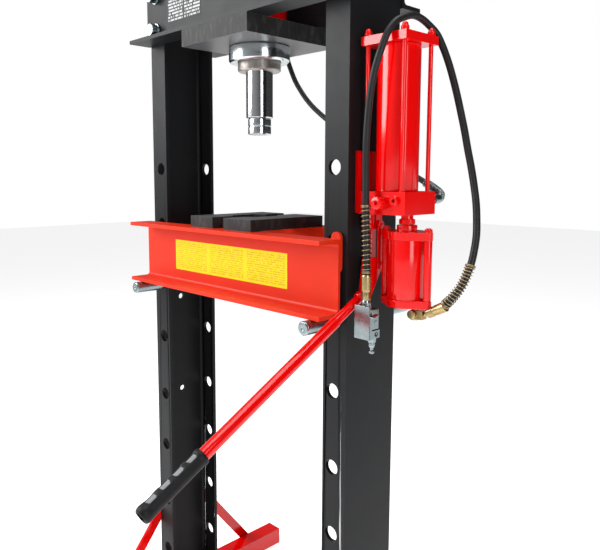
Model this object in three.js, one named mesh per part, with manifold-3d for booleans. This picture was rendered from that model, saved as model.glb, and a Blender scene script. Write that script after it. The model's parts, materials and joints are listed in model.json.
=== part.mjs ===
// Air-over-hydraulic workshop press: a bolted frame of rolled channel with a hand and air pump on its side.
// Millimetres, +Z up, +Y to the back, origin on the floor midway between the uprights.
import * as THREE from 'three';
import { mergeVertices } from 'three/addons/utils/BufferGeometryUtils.js';
import Module from 'manifold-3d';

const wasm = await Module();
wasm.setup();

// ---------------------------------------------------------------- driving dimensions
const GAP = 0.3;                                   // clearance left between pieces that touch

const CHANNEL = { depth: 160, flange: 63, web: 6.5, lip: 9, root: 8 };
const FRAME_WIDTH = 708;                           // over the two upright webs
const FRAME_TOP = 1752;
const RAIL = { side: 50, reach: 356 };             // square foot rails along Y
const BRACE = { thick: 6, width: 28, upper: [50, 289], lower: [260, 26] };   // [y, z] of its centre line

const PIN_HOLE = { radius: 16.5, inset: 36.3, top: 1262, pitch: 318, pair: 150, pairs: 4 };
const WEB_HOLE = { radius: 8, heights: [894, 617] };
const PIN = { radius: 15, reach: 170, height: 944 };

const HEAD = { half: 360, bottom: 1592 };
const HEAD_PLATE = { halfX: 120, thick: 40 };
const HEAD_BOLT = {
  radius: 10, inset: 38, rows: [1629, 1715], head: 18, hex: 17, washer: 4, washerRadius: 18.5, nut: 16,
};

const CYLINDER = { radius: 66, neck: 52.5, bore: 45, rodBore: 32.8, bottom: 1494, top: 1816 };
const LOCK_NUT = { radius: 74, height: 37 };
const RAM = { radius: 32.5, tip: 1383, top: 1680, piston: 44.6, pistonThick: 40 };
const NOSE = { radius: 28, length: 39, spigot: 12, spigotLength: 20 };

const BED = { centre: -10, half: 354, web: 89, bottom: PIN.height + PIN.radius - 0.9 };
const BED_TAB = { width: 25, thick: 6, rise: 14, drop: 60 };
const BED_SPACER = { x: 250, thick: 12, height: 110 };
const ARBOR = { thick: 27, halfY: 119, mouth: 55, floor: 35, notch: 25, right: [8, 105], left: [-122, -35] };

const PUMP = { x: 417, y: -5 };                    // tank axis
const BLOCK = { x: [360.3, 474], y: [-57, 45], z: [1169, 1214] };
const TANK = { radius: 42, wall: 3, top: 1496, cap: 53, capThick: 17, rod: 4.4, rodOffset: 43, thread: 8 };
const MOTOR = { x: 444.5, y: -6, radius: 36.5, wall: 3, top: 1120, bottom: 1002, cap: 16, lug: 50, lugRadius: 9 };
const LEVER = { x: 371, pivot: [-8, 1063], upper: [-8, 1144], drive: [-36, 1072], socket: [-41.6, 1007.5] };
const HANDLE_SLOPE = 27.9 * Math.PI / 180;         // the resting handle points down to the front
const PLUNGER = { y: -36, radius: 7, bottom: 1086, top: 1187, gland: 12.5, glandLength: 32 };

const AIR_HOSE = { diameter: 14, sides: 10, steps: 42 };
const OIL_HOSE = { diameter: 13, sides: 10, steps: 46 };

// ---------------------------------------------------------------- finishes
const paint = (color, roughness = 0.35) => new THREE.MeshStandardMaterial({ color, roughness, metalness: 0.1 });
const metal = (color, roughness = 0.3) => new THREE.MeshStandardMaterial({ color, roughness, metalness: 1 });
const BLACK_PAINT = paint(0x2a2b2e, 0.45);
const RED_PAINT = paint(0xd40a08, 0.25);
const BED_PAINT = paint(0xd93423, 0.4);
const DARK_STEEL = metal(0x3c3d40, 0.5);
const ZINC = metal(0xb9c2c6);
const CHROME = metal(0xd6dadd, 0.12);
const BRASS = metal(0xa98a4c, 0.35);
const RUBBER = paint(0x17181a, 0.7);
const GRIP_RUBBER = paint(0x1b1b1d, 0.8);

// ---------------------------------------------------------------- solids
/** Merges shared corners, drops slivers and turns the faces outward. */
function welded(geometry) {
  const source = geometry.clone();
  source.deleteAttribute('normal');
  source.deleteAttribute('uv');
  const merged = mergeVertices(source, 1e-3);
  const p = merged.attributes.position.array;
  const index = [];
  const old = merged.index.array;
  for (let i = 0; i < old.length; i += 3) {
    const [a, b, c] = [old[i], old[i + 1], old[i + 2]];
    if (a !== b && b !== c && c !== a) index.push(a, b, c);
  }
  const corner = (i) => new THREE.Vector3(p[3 * i], p[3 * i + 1], p[3 * i + 2]);
  let volume = 0;
  for (let i = 0; i < index.length; i += 3) {
    volume += corner(index[i]).dot(corner(index[i + 1]).cross(corner(index[i + 2])));
  }
  if (volume < 0) index.reverse();
  merged.setIndex(index);
  return merged;
}

function toManifold(geometry) {
  const g = welded(geometry);
  const vertProperties = new Float32Array(g.attributes.position.array);
  const triVerts = new Uint32Array(g.index.array);
  return new wasm.Manifold(new wasm.Mesh({ numProp: 3, vertProperties, triVerts }));
}

function fromManifold(manifold) {
  const mesh = manifold.getMesh();
  const geometry = new THREE.BufferGeometry();
  geometry.setAttribute('position', new THREE.BufferAttribute(new Float32Array(mesh.vertProperties), 3));
  geometry.setIndex([...mesh.triVerts]);
  return geometry;
}

/** Joins the first list of closed geometries into one solid and cuts the second list out of it. */
function shaped(joined, removed = []) {
  let body = toManifold(joined[0]);
  for (const piece of joined.slice(1)) body = body.add(toManifold(piece));
  for (const tool of removed) body = body.subtract(toManifold(tool));
  return fromManifold(body);
}

const box = ([x0, x1], [y0, y1], [z0, z1]) =>
  new THREE.BoxGeometry(x1 - x0, y1 - y0, z1 - z0).translate((x0 + x1) / 2, (y0 + y1) / 2, (z0 + z1) / 2);

/** Turns a shape made along +Z so that it runs along the named axis: x takes (y, z), y takes (x, z). */
function along(axis, geometry) {
  if (axis === 'x') {
    const turn = new THREE.Matrix4().makeBasis(
      new THREE.Vector3(0, 1, 0), new THREE.Vector3(0, 0, 1), new THREE.Vector3(1, 0, 0));
    return geometry.applyMatrix4(turn);
  }
  return axis === 'y' ? geometry.rotateX(Math.PI / 2).scale(1, -1, 1) : geometry;
}

/** A round bar along an axis, from one station to another, centred on the other two coordinates. */
function bar(axis, radius, [from, to], [a, b], sides = 24) {
  const geometry = new THREE.CylinderGeometry(radius, radius, to - from, sides).rotateX(Math.PI / 2);
  return along(axis, geometry.translate(a, b, (from + to) / 2));
}

/** A turned piece about an axis: profile pairs are [radius, station]. */
function turned(axis, profile, [a, b], sides = 32) {
  const points = profile.map(([r, s]) => new THREE.Vector2(r, s));
  const geometry = new THREE.LatheGeometry(points, sides).rotateX(Math.PI / 2);
  return along(axis, geometry.translate(a, b, 0));
}

/** A flat outline pushed along an axis. */
function prism(axis, shape, [from, to], curveSegments = 6) {
  const geometry = new THREE.ExtrudeGeometry(shape, { depth: to - from, bevelEnabled: false, curveSegments });
  return along(axis, geometry.translate(0, 0, from));
}

const outline = (points) => new THREE.Shape(points.map(([u, v]) => new THREE.Vector2(u, v)));

/** Hexagon of the given corner radius about a centre. */
function hexagon(radius, [u, v], sides = 6) {
  return outline(Array.from({ length: sides }, (_, i) => {
    const angle = (i + 0.5) * 2 * Math.PI / sides;
    return [u + radius * Math.cos(angle), v + radius * Math.sin(angle)];
  }));
}

/** Outline wrapped tightly round several circles, each [u, v, radius]. */
function wrapped(circles, steps = 16) {
  const points = circles.flatMap(([u, v, r]) => Array.from({ length: steps }, (_, i) => {
    const angle = i * 2 * Math.PI / steps;
    return [u + r * Math.cos(angle), v + r * Math.sin(angle)];
  })).sort((p, q) => p[0] - q[0] || p[1] - q[1]);
  const turn = (o, p, q) => (p[0] - o[0]) * (q[1] - o[1]) - (p[1] - o[1]) * (q[0] - o[0]);
  const half = (list) => list.reduce((hull, point) => {
    while (hull.length > 1 && turn(hull.at(-2), hull.at(-1), point) <= 1e-6) hull.pop();
    return [...hull, point];
  }, []).slice(0, -1);
  return outline([...half(points), ...half(points.reverse())]);
}

/** Rolled channel section: its back lies on v = 0, its flanges point to +v. */
function channelSection() {
  const { depth, flange, web, lip, root } = CHANNEL;
  const h = depth / 2;
  const shape = new THREE.Shape();
  shape.moveTo(-h, 0);
  shape.lineTo(h, 0);
  shape.lineTo(h, flange);
  shape.lineTo(h - lip, flange);
  shape.lineTo(h - lip, web + root);
  shape.absarc(h - lip - root, web + root, root, 0, -Math.PI / 2, true);
  shape.lineTo(-h + lip + root, web);
  shape.absarc(-h + lip + root, web + root, root, -Math.PI / 2, -Math.PI, true);
  shape.lineTo(-h + lip, flange);
  shape.lineTo(-h, flange);
  return shape;
}

/** Channel standing along Z: back on x = 0, flanges pointing to -x, depth along Y. */
function uprightChannel(bottom, top) {
  return prism('z', channelSection(), [bottom, top], 4).rotateZ(Math.PI / 2);
}

/** Channel lying along X: back on y = 0, flanges pointing to -y, depth along Z from z = 0 up. */
function crossChannel(half) {
  const geometry = prism('z', channelSection(), [-half, half], 4).rotateY(Math.PI / 2).rotateX(Math.PI);
  return geometry.translate(0, 0, CHANNEL.depth / 2);
}

/** Round section of the given diameter swept along a smooth curve through the points. */
function tube(points, { diameter, sides, steps }) {
  const section = new THREE.Shape().absarc(0, 0, diameter / 2, 0, 2 * Math.PI, false);
  const route = points.map((p) => new THREE.Vector3(...p));
  const extrudePath = new THREE.CatmullRomCurve3(route, false, 'centripetal');
  const curveSegments = sides / 2;
  return new THREE.ExtrudeGeometry(section, { steps, extrudePath, curveSegments, bevelEnabled: false });
}

// ---------------------------------------------------------------- scene graph
const press = new THREE.Group();

/** Adds a named piece, placed and turned about Z or X, to a group. */
function piece(name, geometry, material, { at = [0, 0, 0], turnZ = 0, turnX = 0, group = press } = {}) {
  const mesh = new THREE.Mesh(welded(geometry), material);
  mesh.name = name;
  mesh.position.set(...at);
  mesh.rotation.set(turnX, 0, turnZ);
  group.add(mesh);
  return mesh;
}

const HALF_WIDTH = FRAME_WIDTH / 2;
const HALF_DEPTH = CHANNEL.depth / 2;
const BED_TOP = BED.bottom + CHANNEL.depth;
const BACK = Math.PI;                              // half a turn about Z carries a front piece to the back

// ---- frame
function pinHoles() {
  const holes = [];
  for (let pair = 0; pair < PIN_HOLE.pairs; pair += 1) {
    for (const drop of [0, PIN_HOLE.pair]) {
      const z = PIN_HOLE.top - PIN_HOLE.pitch * pair - drop;
      const reach = HALF_DEPTH + 1;
      holes.push(bar('y', PIN_HOLE.radius, [-reach, reach], [HALF_WIDTH - PIN_HOLE.inset, z], 18));
    }
  }
  return holes;
}

function boltHoles(x, reach) {
  return HEAD_BOLT.rows.map((z) => bar('y', HEAD_BOLT.radius + GAP, reach, [x, z], 10));
}

function upright(webHoles) {
  const stock = uprightChannel(RAIL.side + GAP, FRAME_TOP).translate(HALF_WIDTH, 0, 0);
  const reach = [-HALF_DEPTH - 1, HALF_DEPTH + 1];
  const web = webHoles.map((z) => bar('x', WEB_HOLE.radius, [HALF_WIDTH - 20, HALF_WIDTH + 1], [0, z], 16));
  return shaped([stock], [...pinHoles(), ...boltHoles(HALF_WIDTH - HEAD_BOLT.inset, reach), ...web]);
}

function makeFrame() {
  piece('right_upright', upright([]), BLACK_PAINT);
  piece('left_upright', upright(WEB_HOLE.heights), BLACK_PAINT, { turnZ: BACK });

  const rail = box([HALF_WIDTH - RAIL.side, HALF_WIDTH], [-RAIL.reach, RAIL.reach], [0, RAIL.side]);
  piece('right_foot_rail', rail, RED_PAINT);
  piece('left_foot_rail', rail, RED_PAINT, { turnZ: BACK });
  const tieHalf = HALF_WIDTH - RAIL.side - GAP;
  piece('floor_cross_tie', box([-tieHalf, tieHalf], [-RAIL.side / 2, RAIL.side / 2], [0, RAIL.side]), RED_PAINT);

  const [y0, z0] = BRACE.upper;
  const [y1, z1] = BRACE.lower;
  const length = Math.hypot(y1 - y0, z1 - z0);
  const braceX = HALF_WIDTH + GAP + BRACE.thick / 2;
  for (const [side, x] of [['left', -braceX], ['right', braceX]]) {
    for (const [end, sign] of [['front', -1], ['back', 1]]) {
      const flat = new THREE.BoxGeometry(BRACE.thick, length, BRACE.width);
      const turnX = sign * Math.atan2(z1 - z0, y1 - y0);
      piece(`${side}_${end}_brace`, flat, RED_PAINT, { at: [x, sign * (y0 + y1) / 2, (z0 + z1) / 2], turnX });
    }
  }
}

// ---- head
function headChannel() {
  const stock = crossChannel(HEAD.half).translate(0, -HALF_DEPTH - GAP, HEAD.bottom);
  const reach = [-HALF_DEPTH - CHANNEL.web - 5, -HALF_DEPTH + 5];
  const x = HALF_WIDTH - HEAD_BOLT.inset;
  return shaped([stock], [...boltHoles(x, reach), ...boltHoles(-x, reach)]);
}

/** Hexagon bolt through a head channel and an upright flange, with its washer and its tightened nut. */
function headBolt() {
  const web = -HALF_DEPTH - GAP - CHANNEL.web - GAP;
  const inner = -HALF_DEPTH + CHANNEL.lip + GAP;
  const washer = [web - HEAD_BOLT.washer, web];
  const head = [washer[0] - HEAD_BOLT.head, washer[0]];
  return shaped([
    bar('y', HEAD_BOLT.radius, [head[1] - 1, inner + HEAD_BOLT.nut + 6], [0, 0], 10),
    bar('y', HEAD_BOLT.washerRadius, washer, [0, 0], 16),
    prism('y', hexagon(HEAD_BOLT.hex, [0, 0]), head),
    prism('y', hexagon(HEAD_BOLT.hex, [0, 0]), [inner, inner + HEAD_BOLT.nut]),
  ]);
}

function makeHead() {
  piece('head_front_channel', headChannel(), BLACK_PAINT);
  piece('head_back_channel', headChannel(), BLACK_PAINT, { turnZ: BACK });
  const reachY = HALF_DEPTH + CHANNEL.flange;
  const plateZ = [HEAD.bottom - HEAD_PLATE.thick, HEAD.bottom - GAP];
  const plate = shaped(
    [box([-HEAD_PLATE.halfX, HEAD_PLATE.halfX], [-reachY, reachY], plateZ)],
    [bar('z', CYLINDER.neck + GAP, [plateZ[0] - 1, plateZ[1] + 1], [0, 0], 48)]);
  piece('head_plate', plate, DARK_STEEL);

  const x = HALF_WIDTH - HEAD_BOLT.inset;
  for (const [end, turnZ] of [['front', 0], ['back', BACK]]) {
    for (const [side, sign] of [['left', -1], ['right', 1]]) {
      for (const [row, z] of [['low', HEAD_BOLT.rows[0]], ['high', HEAD_BOLT.rows[1]]]) {
        piece(`head_bolt_${end}_${side}_${row}`, headBolt(), ZINC, { at: [sign * x, 0, z], turnZ });
      }
    }
  }
}

// ---- cylinder and ram
function makeCylinder() {
  const { radius, neck, bore, rodBore, bottom, top } = CYLINDER;
  const shoulder = HEAD.bottom + GAP;
  const barrel = turned('z', [
    [rodBore, bottom], [neck - 2, bottom], [neck, bottom + 2], [neck, shoulder], [radius, shoulder],
    [radius, top - 3], [radius - 3, top], [0, top], [0, top - 22], [bore, top - 22],
    [bore, bottom + 34], [rodBore, bottom + 34], [rodBore, bottom],
  ], [0, 0], 32);
  const port = bar('y', 5, [bore - 8, radius + 2], [0, top - 32], 12);
  piece('cylinder_barrel', shaped([barrel], [port]), RED_PAINT);

  const nutTop = HEAD.bottom - HEAD_PLATE.thick - GAP;
  const nutBottom = nutTop - LOCK_NUT.height;
  const inner = neck + GAP;
  piece('cylinder_lock_nut', turned('z', [
    [inner, nutBottom], [LOCK_NUT.radius - 4, nutBottom], [LOCK_NUT.radius, nutBottom + 4],
    [LOCK_NUT.radius, nutTop - 1.5], [LOCK_NUT.radius - 1.5, nutTop], [inner, nutTop], [inner, nutBottom],
  ], [0, 0], 36), ZINC);

  const face = radius + GAP;
  piece('cylinder_port_fitting', shaped([
    prism('y', hexagon(13, [0, top - 32]), [face, face + 16]),
    bar('y', 8.5, [face + 15, face + 34], [0, top - 32], 16),
  ]), ZINC);

  const pistonBottom = RAM.top - RAM.pistonThick;
  const socket = NOSE.spigot + GAP;
  piece('ram_rod', turned('z', [
    [socket, RAM.tip], [RAM.radius - 2, RAM.tip], [RAM.radius, RAM.tip + 2], [RAM.radius, pistonBottom],
    [RAM.piston, pistonBottom], [RAM.piston, RAM.top], [0, RAM.top], [0, RAM.tip + NOSE.spigotLength + 2],
    [socket, RAM.tip + NOSE.spigotLength + 2], [socket, RAM.tip],
  ], [0, 0], 32), CHROME);

  const noseTop = RAM.tip - GAP;
  const noseBottom = RAM.tip - NOSE.length;
  const groove = (noseTop + noseBottom) / 2;
  piece('ram_nose', turned('z', [
    [0, noseBottom], [NOSE.radius - 1.5, noseBottom], [NOSE.radius, noseBottom + 1.5], [NOSE.radius, groove - 1.2],
    [NOSE.radius - 1.2, groove], [NOSE.radius, groove + 1.2], [NOSE.radius, noseTop - 2], [NOSE.radius - 2, noseTop],
    [NOSE.spigot, noseTop], [NOSE.spigot, noseTop + NOSE.spigotLength], [0, noseTop + NOSE.spigotLength],
  ], [0, 0], 28), ZINC);
}

// ---- bed
function bedChannel() {
  const stock = crossChannel(BED.half).translate(0, -BED.web, BED.bottom);
  const tabTop = BED_TOP + BED_TAB.rise - BED_TAB.width / 2;
  const tabX = BED.half - BED_TAB.width / 2;
  const tab = prism('y', wrapped([
    [tabX, tabTop, BED_TAB.width / 2], [tabX, tabTop - BED_TAB.drop, BED_TAB.width / 2],
  ]), [-BED.web - 1, -BED.web + BED_TAB.thick]);
  return shaped([stock, tab]);
}

/** Arbor plate with a trapezoid notch on the side that faces +X, modelled on x = 0 at that side. */
function arborPlate(width) {
  const { halfY, mouth, floor, notch, thick } = ARBOR;
  return prism('z', outline([
    [-width, -halfY], [0, -halfY], [0, -mouth], [-notch, -floor], [-notch, floor], [0, mouth],
    [0, halfY], [-width, halfY],
  ]), [0, thick]);
}

function makeBed() {
  const bed = new THREE.Group();
  bed.position.x = BED.centre;
  press.add(bed);
  piece('bed_front_channel', bedChannel(), BED_PAINT, { group: bed });
  piece('bed_back_channel', bedChannel(), BED_PAINT, { turnZ: BACK, group: bed });
  const reachY = BED.web - GAP;
  const middle = BED.bottom + CHANNEL.depth / 2;
  for (const [side, sign] of [['left', -1], ['right', 1]]) {
    const spacer = box(
      [-BED_SPACER.thick / 2, BED_SPACER.thick / 2], [-reachY, reachY],
      [middle - BED_SPACER.height / 2, middle + BED_SPACER.height / 2]);
    piece(`bed_${side}_spacer`, spacer, BED_PAINT, { at: [sign * BED_SPACER.x, 0, 0], group: bed });

    const pinZ = BED.bottom - GAP - PIN.radius;
    const pin = turned('y', [
      [0, -PIN.reach], [PIN.radius - 2.5, -PIN.reach], [PIN.radius, -PIN.reach + 2.5],
      [PIN.radius, PIN.reach - 2.5], [PIN.radius - 2.5, PIN.reach], [0, PIN.reach],
    ], [0, 0], 28);
    piece(`${side}_support_pin`, pin, ZINC, { at: [sign * (HALF_WIDTH - PIN_HOLE.inset), 0, pinZ] });
  }
  const top = BED_TOP + GAP;
  const leftWidth = ARBOR.left[1] - ARBOR.left[0];
  const rightWidth = ARBOR.right[1] - ARBOR.right[0];
  piece('left_arbor_plate', arborPlate(leftWidth), DARK_STEEL, { at: [ARBOR.left[1], -3, top] });
  piece('right_arbor_plate', arborPlate(rightWidth), DARK_STEEL, { at: [ARBOR.right[0], -3, top], turnZ: BACK });
}

// ---- pump body: block, tank, cap and tie rods
const rodPlaces = () => [-1, 1].flatMap((sx) => [-1, 1].map((sy) => [
  `${sy < 0 ? 'front' : 'back'}_${sx < 0 ? 'inner' : 'outer'}`,
  PUMP.x + sx * TANK.rodOffset, PUMP.y + sy * TANK.rodOffset]));

function makePumpBody() {
  const bracketX = [HALF_WIDTH + GAP, BLOCK.x[0] - GAP];
  piece('pump_bracket', box(bracketX, [-58, 46], [BLOCK.z[0] + 2, BLOCK.z[1] + 80]), RED_PAINT);

  const [low, high] = BLOCK.z;
  const gland = bar('z', PLUNGER.gland, [low - PLUNGER.glandLength, low + 1], [LEVER.x, PLUNGER.y]);
  const [lugY, lugZ] = LEVER.upper;
  const lug = prism('x', wrapped([[lugY, lugZ, 10], [lugY, low + 8, 10]]), [LEVER.x - 6, LEVER.x + 6]);
  const cuts = rodPlaces().map(([, x, y]) => bar('z', TANK.rod + GAP, [high - TANK.thread - 1, high + 1], [x, y], 12));
  cuts.push(bar('z', PLUNGER.radius + GAP, [low - PLUNGER.glandLength - 1, high - 4], [LEVER.x, PLUNGER.y]));
  cuts.push(bar('x', 6 + GAP, [LEVER.x - 7, LEVER.x + 7], [lugY, lugZ], 16));
  cuts.push(bar('z', 9.5 + GAP, [low - 1, high - 4], [MOTOR.x, MOTOR.y], 16));
  for (const [x, z] of [RELEASE_VALVE.at, RELIEF_PLUG.at]) {
    cuts.push(bar('y', 6 + GAP, [BLOCK.y[0] - 1, BLOCK.y[0] + 20], [x, z], 16));
  }
  cuts.push(bar('y', 6 + GAP, [BLOCK.y[1] - 12, BLOCK.y[1] + 1], OIL_PORT, 16));
  piece('pump_block', shaped([box(BLOCK.x, BLOCK.y, BLOCK.z), gland, lug], cuts), RED_PAINT);

  const [inner, outer] = [TANK.radius - TANK.wall, TANK.radius];
  piece('oil_tank', turned('z', [
    [inner, high + GAP], [outer, high + GAP], [outer, TANK.top - GAP], [inner, TANK.top - GAP], [inner, high + GAP],
  ], [PUMP.x, PUMP.y], 32), RED_PAINT);

  const capTop = TANK.top + TANK.capThick;
  const cap = box([PUMP.x - TANK.cap, PUMP.x + TANK.cap], [PUMP.y - TANK.cap, PUMP.y + TANK.cap], [TANK.top, capTop]);
  const capHoles = rodPlaces().map(([, x, y]) => bar('z', TANK.rod + GAP, [TANK.top - 1, capTop + 1], [x, y], 12));
  piece('tank_cap', shaped([cap], capHoles), RED_PAINT);

  for (const [place, x, y] of rodPlaces()) {
    const nut = capTop + GAP;
    const rod = shaped([
      bar('z', TANK.rod, [high - TANK.thread, nut + 4], [0, 0], 12),
      prism('z', hexagon(8, [0, 0]), [nut, nut + 8]),
      turned('z', [[0, nut + 7], [6.2, nut + 7], [6.2, nut + 9], [5, nut + 13], [2.5, nut + 15.5], [0, nut + 16]],
        [0, 0], 12),
    ]);
    piece(`tank_rod_${place}`, rod, RED_PAINT, { at: [x, y, 0] });
  }
}

// ---- valves screwed into the front of the block, and the oil port at its back
const RELEASE_VALVE = { at: [422, 1192], radius: 13 };
const RELIEF_PLUG = { at: [452, 1197], radius: 9 };
const OIL_PORT = [452, 1196];

function makeValves() {
  const face = BLOCK.y[0] - GAP;
  const [vx, vz] = RELEASE_VALVE.at;
  const knob = shaped([
    bar('y', 6, [face - 20, BLOCK.y[0] + 16], [0, 0], 16),
    bar('y', 9, [face - 8, face], [0, 0], 20),
    prism('y', hexagon(RELEASE_VALVE.radius, [0, 0], 12), [face - 22, face - 8]),
  ], [prism('y', hexagon(4, [0, 0]), [face - 23, face - 14])]);
  piece('release_valve', knob, RED_PAINT, { at: [vx, 0, vz] });

  const [px, pz] = RELIEF_PLUG.at;
  const plug = shaped([
    bar('y', 6, [face - 2, BLOCK.y[0] + 16], [0, 0], 16),
    bar('y', RELIEF_PLUG.radius, [face - 7, face], [0, 0], 20),
  ], [prism('y', hexagon(4, [0, 0]), [face - 8, face - 3])]);
  piece('relief_plug', plug, RED_PAINT, { at: [px, 0, pz] });

  const back = BLOCK.y[1] + GAP;
  piece('oil_hose_fitting', shaped([
    bar('y', 6, [BLOCK.y[1] - 10, back + 2], [0, 0], 16),
    prism('y', hexagon(12, [0, 0]), [back, back + 12]),
    bar('y', 8.5, [back + 11, back + 24], [0, 0], 16),
  ]), ZINC, { at: [OIL_PORT[0], 0, OIL_PORT[1]] });
}

// ---- air motor under the block
function motorCap(from, to) {
  return prism('z', wrapped([
    [0, 0, MOTOR.radius + 3], [-MOTOR.lug, 0, MOTOR.lugRadius], [MOTOR.lug, 0, MOTOR.lugRadius],
  ]), [from, to]);
}

function makeAirMotor() {
  const motor = new THREE.Group();
  motor.position.set(MOTOR.x, MOTOR.y, 0);
  press.add(motor);
  const group = motor;
  const { top, bottom, cap, radius, wall, lug } = MOTOR;
  const capTop = top + cap;
  const neckTop = BLOCK.z[0] - GAP;
  const rodHole = (from, to) => [-lug, lug].map((x) => bar('z', 5 + GAP, [from, to], [x, 0], 12));

  piece('motor_top_cap', shaped([
    motorCap(top, capTop),
    bar('z', 12, [capTop - 1, neckTop], [0, 0]),
    prism('z', hexagon(16.5, [0, 0]), [capTop + 13, capTop + 25]),
    prism('z', hexagon(20.5, [0, 0]), [capTop - 1, capTop + 13]),
  ], [...rodHole(top - 1, capTop + 1), bar('z', 7 + GAP, [top - 1, neckTop + 1], [0, 0], 16)]), RED_PAINT, { group });

  piece('motor_barrel', turned('z', [
    [radius - wall, bottom + GAP], [radius, bottom + GAP], [radius, top - GAP], [radius - wall, top - GAP],
    [radius - wall, bottom + GAP],
  ], [0, 0], 36), RED_PAINT, { group });

  const elbowHole = bar('z', 7 + GAP, [bottom - cap - 1, bottom + 1], [AIR_PORT_X - MOTOR.x, 0], 16);
  piece('motor_bottom_cap', shaped(
    [motorCap(bottom - cap, bottom)], [...rodHole(bottom - cap - 1, bottom + 1), elbowHole]), RED_PAINT, { group });

  for (const [side, x] of [['inner', -lug], ['outer', lug]]) {
    const rod = shaped([
      bar('z', 5, [bottom - cap + 1, capTop + 8], [0, 0], 12),
      bar('z', 8, [bottom + GAP, top - GAP], [0, 0], 16),
      prism('z', hexagon(8, [0, 0]), [capTop + GAP, capTop + 6]),
    ]);
    piece(`motor_rod_${side}`, rod, RED_PAINT, { at: [x, 0, 0], group });
  }

  const floor = bottom + 8;
  piece('air_piston', turned('z', [
    [0, floor], [radius - wall - GAP, floor], [radius - wall - GAP, floor + 14], [7, floor + 14],
    [7, floor + 145], [0, floor + 145],
  ], [0, 0], 28), ZINC, { group });
}

// ---- air inlet elbow under the motor
const AIR_PORT_X = 468;
const ELBOW = { z: 973, from: 489, reach: 20, tilt: 28 * Math.PI / 180 };

function makeElbow() {
  const z = ELBOW.z;
  const elbow = shaped([
    bar('z', 7, [z, MOTOR.bottom - 4], [AIR_PORT_X, MOTOR.y], 16),
    bar('z', 9, [z - 12, z], [AIR_PORT_X, MOTOR.y], 20),
    bar('y', 9, [MOTOR.y - 15, MOTOR.y], [AIR_PORT_X, z], 20),
    box([AIR_PORT_X, AIR_PORT_X + 22], [MOTOR.y - 9, MOTOR.y + 9], [z - 9, z + 9]),
    bar('x', 4.4, [-4, ELBOW.reach], [0, 0], 16).rotateY(-ELBOW.tilt).translate(ELBOW.from, MOTOR.y, z),
  ]);
  piece('air_elbow', elbow, BRASS);
}

// ---- hand pump: link, plunger, handle
function makeHandPump() {
  const [[py, pz], [uy, uz], [dy, dz], [sy, sz]] = [LEVER.pivot, LEVER.upper, LEVER.drive, LEVER.socket];
  const cheek = (x) => prism('x', wrapped([[py, pz, 10], [uy, uz, 10]]), x);
  piece('fulcrum_link', shaped([
    cheek([LEVER.x - 12, LEVER.x - 9]), cheek([LEVER.x + 9, LEVER.x + 12]),
    bar('x', 6, [LEVER.x - 14, LEVER.x + 13], [py, pz], 16), bar('x', 6, [LEVER.x - 14, LEVER.x + 13], [uy, uz], 16),
  ]), RED_PAINT);

  piece('pump_plunger', turned('z', [
    [0, PLUNGER.bottom], [PLUNGER.radius - 1.5, PLUNGER.bottom], [PLUNGER.radius, PLUNGER.bottom + 1.5],
    [PLUNGER.radius, PLUNGER.top], [0, PLUNGER.top],
  ], [LEVER.x, PLUNGER.y], 20), CHROME);

  // The handle is modelled along -Y from the socket centre and tipped down by its slope.
  const group = new THREE.Group();
  group.position.set(LEVER.x, sy, sz);
  group.rotation.x = HANDLE_SLOPE;
  press.add(group);
  const local = ([y, z]) => {
    const [v, w] = [y - sy, z - sz];
    const [c, s] = [Math.cos(HANDLE_SLOPE), Math.sin(HANDLE_SLOPE)];
    return [v * c + w * s, -v * s + w * c];
  };
  const stubEnd = -200;
  const socket = shaped([
    prism('x', wrapped([[...local([py, pz]), 13], [...local([dy, dz]), 9], [0, 0, 13]]), [-8, 8]),
    bar('y', 9.5, [stubEnd, 0], [0, 0], 20),
  ], [bar('x', 6 + GAP, [-9, 9], local([py, pz]), 16)]);
  piece('handle_socket', socket, RED_PAINT, { group });

  const [tubeStart, tubeEnd] = [-103, -596];
  piece('handle_tube', turned('y', [
    [9.8, tubeEnd], [11.5, tubeEnd], [11.5, tubeStart], [9.8, tubeStart], [9.8, tubeEnd],
  ], [0, 0], 24), RED_PAINT, { group });

  const [gripStart, gripEnd] = [-470, -604];
  const bore = 11.5 + GAP;
  const wave = Array.from({ length: 9 }, (_, i) => {
    const t = i / 8;
    return [14 + 0.9 * Math.cos(8 * Math.PI * t), gripStart - 8 - t * 100];
  });
  piece('handle_grip', turned('y', [
    [bore, gripStart], [14, gripStart], [15.5, gripStart - 3], [15.5, gripStart - 6], ...wave,
    [15.5, gripEnd + 14], [15.5, gripEnd + 3], [12, gripEnd], [0, gripEnd], [0, tubeEnd - GAP], [bore, tubeEnd - GAP],
    [bore, gripStart],
  ], [0, 0], 16), GRIP_RUBBER, { group });
}

// ---- hoses
const AIR_HOSE_ROUTE = [
  [508.2, -6, 983.2], [521, -6, 990], [534, -6, 1000], [547, -7, 1012], [557, -4, 1026], [565, 2, 1042],
  [570, 10, 1061], [573, 19, 1083], [573, 28, 1107], [571, 37, 1133], [566, 45, 1162], [559, 53, 1193],
  [550, 59, 1226], [540, 64, 1260], [529, 68, 1295], [519, 71, 1331], [509, 72, 1367], [499, 72, 1403],
  [489, 71, 1437], [479, 69, 1468], [469, 65, 1496], [459, 58, 1521], [450, 42, 1538], [447, 20, 1547],
  [446, -4, 1549], [444, -27, 1543], [441, -52, 1531], [437, -69, 1511], [430, -79, 1481], [421, -84, 1448],
  [414, -86, 1415], [408, -85, 1382], [404, -84, 1350], [401, -83, 1316], [398, -80, 1280], [397, -78, 1243],
  [397, -77, 1194], [399, -77, 1146], [401, -77, 1098], [402, -77, 1052],
];
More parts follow.
